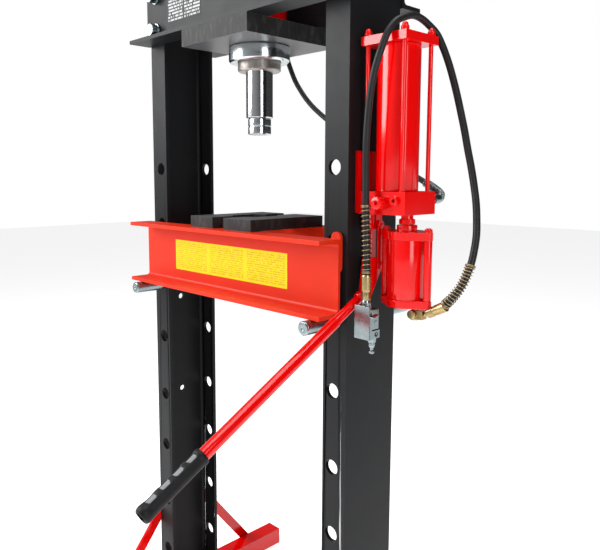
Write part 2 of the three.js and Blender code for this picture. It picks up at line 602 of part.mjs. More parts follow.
const OIL_HOSE_ROUTE = [
  [452, 70.4, 1196], [451, 86, 1197], [448, 101, 1199], [441, 115, 1203], [430, 128, 1208], [404, 142, 1219],
  [375, 150, 1232], [346, 155, 1245], [316, 158, 1258], [286, 161, 1271], [257, 164, 1285], [228, 167, 1299],
  [199, 170, 1314], [170, 173, 1328], [141, 176, 1342], [112, 179, 1357], [83, 182, 1372], [55, 184, 1388],
  [27, 186, 1406], [1, 187, 1425], [-23, 187, 1447], [-45, 188, 1471], [-64, 187, 1497], [-80, 187, 1526],
  [-93, 186, 1556], [-102, 186, 1587], [-106, 186, 1619], [-106, 186, 1652], [-100, 186, 1684], [-88, 185, 1714],
  [-70, 182, 1740], [-46, 174, 1761], [-24, 162, 1775], [-11, 145, 1782], [-3, 124, 1784], [0, 101.4, 1784],
];

function makeHoses() {
  piece('air_hose', tube(AIR_HOSE_ROUTE, AIR_HOSE), RUBBER);
  piece('oil_hose', tube(OIL_HOSE_ROUTE, OIL_HOSE), RUBBER);
}

// ---- air valve hanging on the hose
const AIR_VALVE = { x: 402, y: -77, hoseEnd: 1052, bodyTop: 990, bodyBottom: 926 };

function makeAirValve() {
  const { x, y, hoseEnd, bodyTop, bodyBottom } = AIR_VALVE;
  const group = new THREE.Group();
  group.position.set(x, y, 0);
  press.add(group);
  const hingeZ = bodyBottom + 6;
  const [half, front, back] = [13, -8, 17];
  const body = shaped([
    box([-half + 3, half + 9], [front, back], [bodyBottom, bodyTop - 6]),
    bar('z', 9.5, [hoseEnd - 50, hoseEnd - GAP], [0, 0], 20),
    prism('z', hexagon(11, [0, 0]), [bodyTop - 8, bodyTop + 14]),
    bar('z', 8, [bodyBottom - 12, bodyBottom + 1], [6, 4], 20),
    turned('z', [
      [0, bodyBottom - 34], [4, bodyBottom - 34], [5.5, bodyBottom - 32], [5.5, bodyBottom - 28],
      [3.8, bodyBottom - 25], [3.8, bodyBottom - 22], [6, bodyBottom - 18], [6, bodyBottom - 11], [0, bodyBottom - 11],
    ], [6, 4], 20),
  ], [bar('x', 2 + GAP, [-half, half + 10], [front + 4, hingeZ], 12)]);
  piece('air_valve_body', body, ZINC, { group });

  const [left, right] = [-half - 0.5, half + 12.5];
  const plateY = [front - 12, front - 10];
  const ear = (from) => prism('x', outline([
    [plateY[0], hingeZ - 6], [front + 8, hingeZ - 6], [front + 8, hingeZ + 5], [plateY[0], hingeZ + 22],
  ]), [from, from + 2]);
  const lever = shaped([
    box([left, right], plateY, [hingeZ - 6, bodyTop + 2]),
    ear(left), ear(right - 2),
    bar('x', 2, [left, right], [front + 4, hingeZ], 12),
    box([right - 1, right + 10], [plateY[0], plateY[1] + 4], [bodyTop - 24, bodyTop - 22]),
  ]);
  piece('air_valve_lever', lever, ZINC, { group });
}

makeFrame();
makeHead();
makeCylinder();
makeBed();
makePumpBody();
makeValves();
makeAirMotor();
makeElbow();
makeHandPump();
makeHoses();
makeAirValve();

export default press;
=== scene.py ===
"""Looks of the shop press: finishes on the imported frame, finer pieces, hoses, labels and light."""

import json
import math

import bmesh
import bpy
from mathutils import Matrix, Vector


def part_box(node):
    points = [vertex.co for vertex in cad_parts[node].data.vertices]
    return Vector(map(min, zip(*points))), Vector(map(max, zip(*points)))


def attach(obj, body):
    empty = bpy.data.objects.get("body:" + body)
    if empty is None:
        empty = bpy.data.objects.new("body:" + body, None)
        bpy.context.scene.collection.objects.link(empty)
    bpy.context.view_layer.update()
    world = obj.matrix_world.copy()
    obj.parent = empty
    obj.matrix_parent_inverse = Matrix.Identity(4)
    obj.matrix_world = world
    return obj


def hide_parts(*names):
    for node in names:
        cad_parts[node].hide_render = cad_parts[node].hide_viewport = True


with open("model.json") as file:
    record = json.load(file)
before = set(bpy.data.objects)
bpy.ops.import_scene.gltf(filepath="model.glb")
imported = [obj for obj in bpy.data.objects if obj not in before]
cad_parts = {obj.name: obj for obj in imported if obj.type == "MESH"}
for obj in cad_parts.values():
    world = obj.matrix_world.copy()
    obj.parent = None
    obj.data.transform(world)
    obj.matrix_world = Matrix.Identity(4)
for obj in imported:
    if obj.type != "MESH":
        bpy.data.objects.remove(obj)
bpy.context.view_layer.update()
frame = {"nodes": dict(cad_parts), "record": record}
MM = 0.001
NODES = frame["nodes"]
BODY_OF = {node: body for body, nodes in frame["record"]["behaviour"]["bodies"].items() for node in nodes}


def span(node):
    """Lowest and highest corner of a CAD node, in millimetres."""
    low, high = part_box(node)
    return Vector(low) / MM, Vector(high) / MM


# ---------------------------------------------------------------- camera
CAMERA_AT = Vector((1186, -1055, 1246)) * MM
CAMERA_TURN, CAMERA_TILT = math.radians(47.01), math.radians(6.38)
CAMERA_LENS = 38.26
CAMERA_SHIFT = (0.0422, -0.0478)


def make_camera():
    data = bpy.data.cameras.new("camera")
    data.sensor_width = 36
    data.lens = CAMERA_LENS
    data.shift_x, data.shift_y = CAMERA_SHIFT
    data.clip_start, data.clip_end = 0.05, 60
    camera = bpy.data.objects.new("camera", data)
    bpy.context.collection.objects.link(camera)
    camera.location = CAMERA_AT
    camera.rotation_euler = (math.pi / 2 - CAMERA_TILT, 0, CAMERA_TURN)
    bpy.context.scene.camera = camera


make_camera()


# ---------------------------------------------------------------- material helpers
class Tree:
    """One material's node tree, with short calls to add and link nodes."""

    def __init__(self, name):
        self.material = bpy.data.materials.new(name)
        self.material.use_nodes = True
        self.tree = self.material.node_tree
        self.shader = self.tree.nodes["Principled BSDF"]

    def add(self, kind, inputs=None, **settings):
        node = self.tree.nodes.new("ShaderNode" + kind)
        for key, value in settings.items():
            setattr(node, key, value)
        for key, value in (inputs or {}).items():
            if isinstance(value, bpy.types.NodeSocket):
                self.tree.links.new(value, node.inputs[key])
            else:
                node.inputs[key].default_value = value
        return node

    def place(self, stretch=(1, 1, 1)):
        """Stretched position; every object stands at the origin, so it is the same on all."""
        spot = self.add("TexCoord").outputs["Object"]
        return self.add("Mapping", {"Vector": spot, "Scale": stretch}).outputs["Vector"]

    def noise(self, scale, detail=3.0, stretch=(1, 1, 1), rough=0.55):
        inputs = {"Vector": self.place(stretch), "Scale": scale, "Detail": detail, "Roughness": rough}
        return self.add("TexNoise", inputs).outputs["Fac"]

    def ramp(self, value, stops):
        node = self.add("ValToRGB", {"Fac": value})
        band = node.color_ramp
        while len(band.elements) < len(stops):
            band.elements.new(0.5)
        for element, (spot, grey) in zip(band.elements, stops):
            element.position = spot
            element.color = (grey, grey, grey, 1)
        return node.outputs["Color"]

    def fit(self, value, low, high):
        return self.add("MapRange", {"Value": value, "To Min": low, "To Max": high}).outputs["Result"]

    def math(self, operation, a, b=0.0):
        node = self.add("Math", operation=operation)
        for socket, value in zip(node.inputs, (a, b)):
            if isinstance(value, bpy.types.NodeSocket):
                self.tree.links.new(value, socket)
            else:
                socket.default_value = value
        return node.outputs["Value"]

    def mix(self, factor, a, b, blend="MIX"):
        node = self.add("Mix", data_type="RGBA", blend_type=blend)
        for index, value in ((0, factor), (6, a), (7, b)):
            if isinstance(value, bpy.types.NodeSocket):
                self.tree.links.new(value, node.inputs[index])
            elif index == 0:
                node.inputs[index].default_value = value
            else:
                node.inputs[index].default_value = (*value, 1)
        return node.outputs[2]

    def bump(self, height, strength, distance, below=None):
        inputs = {"Height": height, "Strength": strength, "Distance": distance}
        if below is not None:
            inputs["Normal"] = below
        return self.add("Bump", inputs).outputs["Normal"]

    def edges(self, reach=0.0016):
        """Near 1 where the surface turns a corner within reach, 0 on open faces."""
        turned = self.add("Bevel", {"Radius": reach}, samples=4).outputs["Normal"]
        plain = self.add("NewGeometry").outputs["Normal"]
        agree = self.add("VectorMath", {0: turned, 1: plain}, operation="DOT_PRODUCT").outputs["Value"]
        return self.ramp(agree, [(0.80, 1), (0.97, 0)])

    def finish(self, color=None, roughness=None, normal=None, **constants):
        for key, value in (("Base Color", color), ("Roughness", roughness), ("Normal", normal)):
            if value is not None:
                self.tree.links.new(value, self.shader.inputs[key])
        for key, value in constants.items():
            self.shader.inputs[key.replace("_", " ")].default_value = value
        return self.material


def tint(color, gain):
    return tuple(min(1.0, c * gain) for c in color)


EDGE_WEAR = 0.35
MOTTLING = 0.12


def painted(name, color, rough, peel, peel_scale, worn, gloss, coat=0.0):
    """Sprayed paint: slight mottling, orange peel, thumbed roughness and thin wear along the edges."""
    t = Tree(name)
    cloud = t.noise(7.0, 4.0)
    body = t.mix(cloud, tint(color, 1 - MOTTLING), tint(color, 1 + MOTTLING))
    scuff = t.math("MULTIPLY", t.edges(), t.ramp(t.noise(60.0, 5.0), [(0.40, 0), (0.62, 1)]))
    body = t.mix(t.math("MULTIPLY", scuff, EDGE_WEAR), body, worn)
    roughness = t.fit(t.noise(24.0, 6.0, rough=0.7), rough * 0.8, rough * 1.25)
    normal = t.bump(t.noise(peel_scale, 2.0), peel, 0.0004)
    normal = t.bump(t.noise(9.0, 2.0), 0.05, 0.004, normal)
    return t.finish(body, roughness, normal, Coat_Weight=coat, Coat_Roughness=0.06, Specular_IOR_Level=gloss)


def plated(name, color, rough, stretch=(1, 1, 1), grain=1400.0, depth=0.1,
           stain=(0.5, 0.5, 0.5), stained=0.15):
    """Bare or plated metal with tool marks that run across the stretched direction."""
    t = Tree(name)
    cloud = t.ramp(t.noise(26.0, 5.0), [(0.38, 0), (0.7, 1)])
    body = t.mix(t.math("MULTIPLY", cloud, stained), color, stain)
    roughness = t.fit(t.noise(70.0, 5.0, stretch), rough * 0.7, rough * 1.5)
    normal = t.bump(t.noise(grain, 2.0, stretch), depth, 0.0002)
    return t.finish(body, roughness, normal, Metallic=1.0)


def flame_cut(name, face, side):
    """Dark oxide plate: satin faces, sides with the drag lines of flame cutting."""
    t = Tree(name)
    upright = t.add("SeparateXYZ", {"Vector": t.add("NewGeometry").outputs["True Normal"]}).outputs["Z"]
    flat = t.ramp(t.math("ABSOLUTE", upright), [(0.5, 0), (0.8, 1)])
    drag = t.noise(420.0, 4.0, (1, 1, 0.08))
    rust = t.ramp(t.noise(90.0, 6.0, (1, 1, 0.3)), [(0.5, 0), (0.75, 1)])
    edge = t.mix(drag, tint(side, 0.5), tint(side, 1.8))
    edge = t.mix(t.math("MULTIPLY", rust, 0.35), edge, (0.12, 0.11, 0.1))
    top = t.mix(t.noise(12.0, 5.0), tint(face, 0.85), tint(face, 1.15))
    body = t.mix(flat, edge, top)
    body = t.mix(t.math("MULTIPLY", t.edges(), 0.3), body, (0.3, 0.3, 0.3))
    roughness = t.add("MapRange", {"Value": flat, "To Min": 0.62, "To Max": 0.36}).outputs["Result"]
    rough_side = t.bump(t.math("MULTIPLY", drag, t.math("SUBTRACT", 1.0, flat)), 0.9, 0.0012)
    normal = t.bump(t.noise(600.0, 3.0), 0.06, 0.0004, rough_side)
    return t.finish(body, roughness, normal, Specular_IOR_Level=0.4)


def rubber(name, color, rough, grain=900.0):
    t = Tree(name)
    body = t.mix(t.noise(40.0, 5.0), tint(color, 0.75), tint(color, 1.5))
    roughness = t.fit(t.noise(120.0, 4.0), rough * 0.85, rough * 1.2)
    return t.finish(body, roughness, t.bump(t.noise(grain, 3.0), 0.12, 0.0003), Specular_IOR_Level=0.18)


def printed(name, paper, ink, low, high, rows, columns, letter=0.0023, strength=0.7):
    """Sticker with rows of blank broken lines where the small print would be, inside a plain border."""
    t = Tree(name)
    axes = t.add("SeparateXYZ", {"Vector": t.place()}).outputs
    width, height = high.x - low.x, high.z - low.z
    u = t.add("MapRange", {"Value": axes["X"], "From Min": low.x, "From Max": high.x}).outputs["Result"]
    v = t.add("MapRange", {"Value": axes["Z"], "From Min": low.z, "From Max": high.z}).outputs["Result"]
    row = t.math("MULTIPLY", v, rows)
    line = t.ramp(t.math("PINGPONG", t.math("ADD", row, 0.5), 0.5), [(0.24, 1), (0.34, 0)])
    letter_count = t.math("FLOOR", t.math("MULTIPLY", u, width / letter))
    cell = t.add("CombineXYZ", {"X": letter_count, "Y": t.math("FLOOR", row)}).outputs["Vector"]
    dash = t.math("GREATER_THAN", t.add("TexWhiteNoise", {"Vector": cell}).outputs["Value"], 0.24)
    column = t.math("PINGPONG", t.math("MULTIPLY", u, columns), 0.5)
    inside = t.math("GREATER_THAN", column, 0.045)
    for value, margin in ((u, 0.012), (v, 0.012 * width / height)):
        off_centre = t.math("ABSOLUTE", t.math("SUBTRACT", value, 0.5))
        inside = t.math("MULTIPLY", inside, t.math("LESS_THAN", off_centre, 0.5 - margin))
    ink_here = t.math("MULTIPLY", t.math("MULTIPLY", line, dash), inside)
    body = t.mix(t.math("MULTIPLY", ink_here, strength), paper, ink)
    body = t.mix(t.fit(t.noise(9.0), 0.0, 0.25), body, tint(paper, 0.8))
    return t.finish(body, t.fit(t.noise(50.0), 0.38, 0.55), t.bump(t.noise(260.0), 0.05, 0.0003),
                    Specular_IOR_Level=0.22)


BLACK = painted("black_coat", (0.010, 0.0108, 0.012), 0.38, peel=0.08, peel_scale=520,
                worn=(0.09, 0.09, 0.10), gloss=0.13)
RED = painted("red_enamel", (0.76, 0.0005, 0.0005), 0.14, peel=0.05, peel_scale=190,
              worn=(0.5, 0.08, 0.06), gloss=0.36, coat=0.35)
BED_RED = painted("bed_enamel", (0.62, 0.024, 0.004), 0.38, peel=0.08, peel_scale=260,
                  worn=(0.7, 0.25, 0.2), gloss=0.2)
PLATE = flame_cut("oxide_plate", (0.085, 0.087, 0.092), (0.009, 0.009, 0.0095))
ZINC = plated("zinc_plate", (0.25, 0.30, 0.31), 0.24, grain=260.0, depth=0.02,
              stain=(0.45, 0.52, 0.55), stained=0.3)
TURNED_ZINC = plated("turned_zinc", (0.66, 0.71, 0.73), 0.17, (0.06, 0.06, 9.0), 160.0, 0.12,
                     (0.5, 0.57, 0.6), 0.2)
CHROME = plated("hard_chrome", (0.72, 0.73, 0.75), 0.09, (0.05, 0.05, 6.0), 240.0, 0.04, stained=0.05)
THREAD_STEEL = plated("bare_thread", (0.42, 0.40, 0.38), 0.38, (1, 1, 3), 500.0, 0.4,
                      (0.22, 0.2, 0.18), 0.5)
BRASS = plated("yellow_zinc", (0.42, 0.31, 0.14), 0.27, grain=600.0, depth=0.15,
               stain=(0.42, 0.40, 0.22), stained=0.6)
SPRING_BRASS = plated("spring_wire", (0.32, 0.25, 0.13), 0.3, grain=900.0,
                      stain=(0.4, 0.32, 0.2), stained=0.5)
HOSE = rubber("hose_cover", (0.016, 0.016, 0.017), 0.34)
GRIP = rubber("grip_rubber", (0.007, 0.007, 0.008), 0.46, 500.0)
# The finger slots' faces are painted light grey as sheen; the grip rubber itself is near-black.
GRIP_SLOT_SHEEN = rubber("grip_slot_painted_sheen", (0.20, 0.21, 0.22), 0.42, 500.0)
# Near-black: the lock nut's own set screw, and painted shade for the relief plug's hex socket and the valve
# block's side recess.
DARK_SCREW_AND_SHADE = rubber("dark_screw_and_painted_shade", (0.006, 0.006, 0.006), 0.6)


# ---------------------------------------------------------------- solid helpers, in millimetres
AXIS_TURN = {
    "z": Matrix.Identity(3),
    "x": Matrix(((0, 0, 1), (1, 0, 0), (0, 1, 0))),
    "y": Matrix(((1, 0, 0), (0, 0, 1), (0, 1, 0))),
}


class Solid:
    """Closed shells that make up one piece. Each call adds one shell."""

    def __init__(self, at=(0, 0, 0), axis="z"):
        self.verts, self.faces = [], []
        self.at, self.turn = Vector(at), axis if isinstance(axis, Matrix) else AXIS_TURN[axis]

    def shell(self, verts, faces):
        first = len(self.verts)
        self.verts += [self.turn @ Vector(v) + self.at for v in verts]
        self.faces += [[first + i for i in face] for face in faces]
        return self

    def lathe(self, profile, sides=64, centre=(0, 0)):
        """Turns (radius, station) pairs about the axis; ends on the axis or closes on itself."""
        rings, verts = [], []
        for radius, station in profile:
            count = 1 if radius < 1e-6 else sides
            rings.append([len(verts) + i for i in range(count)])
            for i in range(count):
                angle = 2 * math.pi * i / sides
                x, y = radius * math.cos(angle), radius * math.sin(angle)
                verts.append((centre[0] + x, centre[1] + y, station))
        closed = len(rings[0]) > 1
        faces = []
        for lower, upper in zip(rings, rings[1:] + (rings[:1] if closed else [])):
            for i in range(sides):
                quad = [lower[i % len(lower)], lower[(i + 1) % len(lower)],
                        upper[(i + 1) % len(upper)], upper[i % len(upper)]]
                face = [v for k, v in enumerate(quad) if v not in quad[:k]]
                if len(face) > 2:
                    faces.append(face)
        return self.shell(verts, faces)

    def prism(self, outline, low, high):
        """Pushes a closed outline along the axis."""
        count = len(outline)
        verts = [(u, v, w) for w in (low, high) for u, v in outline]
        sides = [[i, (i + 1) % count, count + (i + 1) % count, count + i] for i in range(count)]
        return self.shell(verts, [list(range(count)), list(range(count, 2 * count)), *sides])

    def box(self, low, high):
        outline = [(low[0], low[1]), (high[0], low[1]), (high[0], high[1]), (low[0], high[1])]
        return self.prism(outline, low[2], high[2])

    def sweep(self, line, radius, sides=8):
        """Round wire along a line of points; radius may be a list, one for each point."""
        points = [Vector(p) for p in line]
        radii = radius if isinstance(radius, list) else [radius] * len(points)
        verts, faces = [], []
        side = None
        for i, point in enumerate(points):
            ahead = (points[min(i + 1, len(points) - 1)] - points[max(i - 1, 0)]).normalized()
            side = ahead.orthogonal() if side is None else side - ahead * side.dot(ahead)
            side.normalize()
            other = ahead.cross(side)
            for k in range(sides):
                angle = 2 * math.pi * k / sides
                verts.append(point + (side * math.cos(angle) + other * math.sin(angle)) * radii[i])
        for i in range(len(points) - 1):
            for k in range(sides):
                a, b = i * sides + k, i * sides + (k + 1) % sides
                faces.append([a, b, b + sides, a + sides])
        faces.append(list(range(sides)))
        faces.append(list(range((len(points) - 1) * sides, len(points) * sides)))
        return self.shell(verts, faces)


def rounded(profile, radius, steps=3):
    """The same profile with its corners rounded, as far as its short runs allow."""
    points = [Vector(p) for p in profile]
    closed = (points[0] - points[-1]).length < 1e-6
    if closed:
        points = points[:-1]
    out = []
    for i, corner in enumerate(points):
        if not closed and i in (0, len(points) - 1):
            out.append(tuple(corner))
            continue
        before, after = points[i - 1] - corner, points[(i + 1) % len(points)] - corner
        reach = min(radius, before.length * 0.45, after.length * 0.45)
        start, end = corner + before.normalized() * reach, corner + after.normalized() * reach
        for k in range(steps + 1):
            t = k / steps
            out.append(tuple(start * (1 - t) ** 2 + corner * 2 * t * (1 - t) + end * t * t))
    return out


def hexagon(radius):
    angles = [math.pi * (i + 0.5) / 3 for i in range(6)]
    return [(radius * math.cos(a), radius * math.sin(a)) for a in angles]


def wrapped(circles, steps=72):
    """Outline drawn tightly round several circles (u, v, radius)."""
    points = sorted(
        (u + r * math.cos(2 * math.pi * i / steps), v + r * math.sin(2 * math.pi * i / steps))
        for u, v, r in circles for i in range(steps))

    def half(ordered):
        hull = []
        for p in ordered:
            while len(hull) > 1:
                (ax, ay), (bx, by) = hull[-2], hull[-1]
                if (bx - ax) * (p[1] - ay) - (by - ay) * (p[0] - ax) > 1e-7:
                    break
                hull.pop()
            hull.append(p)
        return hull[:-1]

    return half(points) + half(points[::-1])


HEX_SIDES = 48                # points round a hexagon whose corners are turned off
HEX_CHAMFER = 0.6             # height of the turned cone over its depth


def hex_head(solid, radius, low, high, chamfer_low=False, chamfer_high=True):
    """Hexagon whose corners are turned off to a cone at its free end, as a bolt head's are."""
    flat = radius * math.cos(math.pi / 6)
    depth = (radius - flat) * HEX_CHAMFER
    levels = [(1, low + depth if chamfer_low else low), (1, high - depth if chamfer_high else high)]
    if chamfer_low:
        levels.insert(0, (flat / radius, low))
    if chamfer_high:
        levels.append((flat / radius, high))
    sides = HEX_SIDES
    verts, faces = [], []
    for share, station in levels:
        for i in range(sides):
            angle = 2 * math.pi * (i + 0.5) / sides
            local = (angle - math.pi / 6) % (math.pi / 3) - math.pi / 6
            edge = flat / math.cos(local)
            reach = min(edge, radius * share) if share < 1 else edge
            verts.append((reach * math.cos(angle), reach * math.sin(angle), station))
    for level in range(len(levels) - 1):
        for i in range(sides):
            a, b = level * sides + i, level * sides + (i + 1) % sides
            faces.append([a, b, b + sides, a + sides])
    faces.append(list(range(sides)))
    faces.append(list(range((len(levels) - 1) * sides, len(levels) * sides)))
    return solid.shell(verts, faces)


def make(name, solid, material, body, nodes=(), bevel=0.0, sharp=34, extra=(), pick=None):
    """Turns a Solid into a piece in metres that rides on a body and may stand for CAD nodes."""
    mesh = bpy.data.meshes.new(name)
    mesh.from_pydata([v * MM for v in solid.verts], [], solid.faces)
    work = bmesh.new()
    work.from_mesh(mesh)
    bmesh.ops.recalc_face_normals(work, faces=work.faces)
    work.to_mesh(mesh)
    work.free()
    for finish in (material, *extra):
        mesh.materials.append(finish)
    if pick:
        for face in mesh.polygons:
            face.material_index = pick(face.center / MM)
    mesh.shade_smooth()
    piece = bpy.data.objects.new(name, mesh)
    bpy.context.collection.objects.link(piece)
    if bevel:
        soften(piece, bevel)
    else:
        mesh.set_sharp_from_angle(angle=math.radians(sharp))
    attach(piece, body)
    if nodes:
        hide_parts(*nodes)
    return piece


def soften(piece, width, dissolve=False):
    """Rounds the sharp edges with a modifier; a CAD node's flat triangles are joined first."""
    if dissolve:
        flat = piece.modifiers.new("flat", "DECIMATE")
        flat.decimate_type = "DISSOLVE"
        flat.angle_limit = math.radians(1.0)
    bevel = piece.modifiers.new("soft_edges", "BEVEL")
    bevel.width = width * MM
    bevel.segments = 2
    bevel.limit_method = "ANGLE"
    bevel.angle_limit = math.radians(35)
    bevel.harden_normals = True
    bevel.use_clamp_overlap = True


def dress(node, material, bevel=0.8):
    """Gives a CAD node its finish and soft edges."""
    piece = NODES[node]
    piece.data.materials.clear()
    piece.data.materials.append(material)
    piece.data.shade_smooth()
    soften(piece, bevel, dissolve=True)


# ---------------------------------------------------------------- frame, head and bed
def dress_frame():
    for node in ("left_upright", "right_upright", "head_front_channel", "head_back_channel"):
        dress(node, BLACK, 1.6)
    for node in ("left_foot_rail", "right_foot_rail", "floor_cross_tie"):
        dress(node, RED, 2.5)
    for node in (n for n in NODES if n.endswith("_brace")):
        dress(node, RED, 0.8)
    for node in ("head_plate", "left_arbor_plate", "right_arbor_plate"):
        dress(node, PLATE, 1.0)
    for node in ("bed_front_channel", "bed_back_channel"):
        dress(node, BED_RED, 1.6)
    for node in ("bed_left_spacer", "bed_right_spacer"):
        dress(node, BED_RED, 1.0)
    for node in ("pump_bracket", "pump_block", "tank_cap"):
        dress(node, RED, 1.2)
    dress("air_piston", ZINC, 0.6)


def weld(name, path, body, material, radius, pitch=2.4):
    """Ripple-topped weld bead along straight runs between points."""
    line, radii = [], []
    for a, b in zip(path, path[1:]):
        a, b = Vector(a), Vector(b)
        count = max(4, int((b - a).length / pitch * 3))
        for k in range(count):
            line.append(a.lerp(b, k / count))
            radii.append(radius * (0.9 + 0.16 * math.cos(2 * math.pi * k / 3)))
    line.append(Vector(path[-1]))
    radii.append(radius * 0.8)
    return make(name, Solid().sweep(line, radii, 8), material, body, sharp=60)


BOLT_HEAD, BOLT_HEX = 18, 17
WASHER_GAP, WASHER_END, WASHER_RADIUS = 18.05, 22, 18.4
NUT_FROM_TIP, NUT_END = 6, 22
SHANK_RADIUS = 9.9


def ordered(a, b):
    return (min(a, b), max(a, b))


def disc(radius, ends, edge):
    """Profile of a plain solid disc or bar between two stations."""
    low, high = ends
    return rounded([(0, low), (radius, low), (radius, high), (0, high)], edge)


def make_bolts():
    """Hexagon bolts that hold the head channels to the uprights."""
    for node in sorted(n for n in NODES if n.startswith("head_bolt")):
        low, high = span(node)
        centre = (low + high) / 2
        front = centre.y < 0
        out, face = (-1, low.y) if front else (1, high.y)
        tip = high.y if front else low.y
        solid = Solid((centre.x, 0, centre.z), "y")
        head = ordered(face, face - out * BOLT_HEAD)
        hex_head(solid, BOLT_HEX, *head, chamfer_low=front, chamfer_high=not front)
        washer = ordered(face - out * WASHER_GAP, face - out * WASHER_END)
        solid.lathe(disc(WASHER_RADIUS, washer, 0.7), 48)
        nut = ordered(tip + out * NUT_FROM_TIP, tip + out * NUT_END)
        hex_head(solid, BOLT_HEX, *nut, chamfer_low=not front, chamfer_high=front)
        shank = ordered(tip, face - out * (BOLT_HEAD + 1))
        solid.lathe(disc(SHANK_RADIUS, shank, 1.2), 32)
        make(node + "_fine", solid, ZINC, "frame", [node])


WEB_INSET = 56.5              # from a channel's flange tips to its web
NOTICE_LIFT = (0.45, 0.05)    # the notices' front and back, off the web


def make_stickers():
    """Plain yellow notice on the bed and a dark one on the head, without any wording."""
    front, back = NOTICE_LIFT
    web_face = span("bed_front_channel")[0].y + WEB_INSET
    low, high = Vector((-229, web_face - front, 997.5)), Vector((197, web_face - back, 1076))
    yellow = printed("notice_print", (0.78, 0.62, 0.003), (0.20, 0.06, 0.004), low * MM, high * MM, 15, 3,
                     strength=0.42)
    make("bed_notice", Solid().box(low, high), yellow, "bed")

    web_face = span("head_front_channel")[0].y + WEB_INSET
    low, high = Vector((-262, web_face - front, 1640)), Vector((-118, web_face - back, 1712))
    dark = printed("plate_print", (0.012, 0.012, 0.013), (0.75, 0.75, 0.76), low * MM, high * MM, 9, 2,
                   0.003, 0.8)
    make("head_notice", Solid().box(low, high), dark, "frame")


def make_bed_details():
    for side in ("left", "right"):
        low, high = span(f"{side}_support_pin")
        middle = (low + high) / 2
        profile = rounded([
            (0, low.y + 1.5), (3, low.y + 1.5), (4.2, low.y), (12.5, low.y), (15, low.y + 2.5),
            (15, high.y - 2.5), (12.5, high.y), (4.2, high.y), (3, high.y - 1.5), (0, high.y - 1.5)], 0.6)
        make(f"{side}_pin_fine", Solid((middle.x, 0, middle.z), "y").lathe(profile, 64), ZINC, f"{side}_pin",
             [f"{side}_support_pin"])
        low, high = span(f"bed_{side}_spacer")
        for y in (low.y + 1.5, high.y - 1.5):
            for x in (low.x, high.x):
                weld(f"bed_weld_{side}_{'f' if y < 0 else 'b'}{'l' if x == low.x else 'r'}",
                     [(x, y, low.z + 4), (x, y, high.z - 4)], "bed", BED_RED, 2.4)


# ---------------------------------------------------------------- cylinder and ram
SCREW_TURN = math.radians(47)
THREAD_FORM = [(1.1, 0), (1.1, 0.2), (0, 0.45), (0, 0.65)]


def make_cylinder():
    low, high = span("cylinder_barrel")
    shoulder = span("head_plate")[1].z + 0.6
    neck, pitch = 52.4, 2.6
    thread = []
    station = low.z + 2
    while station < shoulder - pitch:
        thread += [(neck - depth, station + pitch * rise) for depth, rise in THREAD_FORM]
        station += pitch
    outside = [(32.9, low.z), (neck - 3, low.z), *thread, (neck, shoulder)]
    top = rounded([
        (66, shoulder), (66, high.z - 3), (63, high.z), (20, high.z), (20, high.z - 1.5),
        (0, high.z - 1.5)], 2.0)
    bore = [(0, high.z - 22), (45, high.z - 22), (45, low.z + 34), (32.9, low.z + 34), (32.9, low.z)]
    make("cylinder_body", Solid().lathe([*outside, *top, *bore], 96), RED, "frame", ["cylinder_barrel"],
         extra=(THREAD_STEEL,), pick=lambda c: int(c.z < shoulder - 1 and math.hypot(c.x, c.y) > 30))

    low, high = span("cylinder_lock_nut")
    ring = rounded([
        (52.9, low.z), (69, low.z), (74, low.z + 4.5), (74, high.z - 2), (72, high.z),
        (52.9, high.z), (52.9, low.z)], 0.8)
    make("lock_nut_fine", Solid().lathe(ring, 128), TURNED_ZINC, "frame", ["cylinder_lock_nut"])
    facing = Matrix.Rotation(SCREW_TURN, 3, "Z") @ AXIS_TURN["y"]
    spot = Matrix.Rotation(SCREW_TURN, 3, "Z") @ Vector((0, -73.6, (low.z + high.z) / 2 - 2))
    screw = Solid(spot, facing)
    screw.lathe([(0, 1.0), (2.6, 1.0), (2.6, -0.25), (4.2, -0.25), (4.6, 0.2), (4.6, 3), (0, 3)], 24)
    make("lock_nut_screw", screw, DARK_SCREW_AND_SHADE, "frame")

    low, high = span("ram_rod")
    make("ram_rod_fine", Solid().lathe(rod_profile(low.z, high.z), 96), CHROME, "ram", ["ram_rod"])

    low, high = span("ram_nose")
    face = high.z - 20
    groove = (low.z + face) / 2
    nose = rounded([
        (0, low.z), (26.5, low.z), (28, low.z + 1.5), (28, groove - 1.4), (26.6, groove - 0.6),
        (26.6, groove + 0.6), (28, groove + 1.4), (28, face - 2), (26, face), (12, face), (12, high.z),
        (0, high.z)], 0.5)
    make("ram_nose_fine", Solid().lathe(nose, 96), TURNED_ZINC, "ram", ["ram_nose"])

    low, high = span("cylinder_port_fitting")
    fitting = Solid((0, 0, (low.z + high.z) / 2), "y")
    hex_head(fitting, 13, low.y, low.y + 16)
    fitting.lathe(rounded([(0, low.y + 15), (8.4, low.y + 15), (8.4, high.y), (0, high.y)], 1.0), 40)
    make("cylinder_port_fine", fitting, ZINC, "frame", ["cylinder_port_fitting"])


def rod_profile(low, high):
    """Rod with a piston at its top and an open bore at its lower end."""
    outside = [
        (12.4, low), (30.5, low), (32.5, low + 2), (32.5, high - 40), (44.5, high - 40), (44.5, high),
        (0, high)]
    return rounded([*outside, (0, low + 22)], 0.8)[:-1] + [(0, low + 22), (12.4, low + 22)]


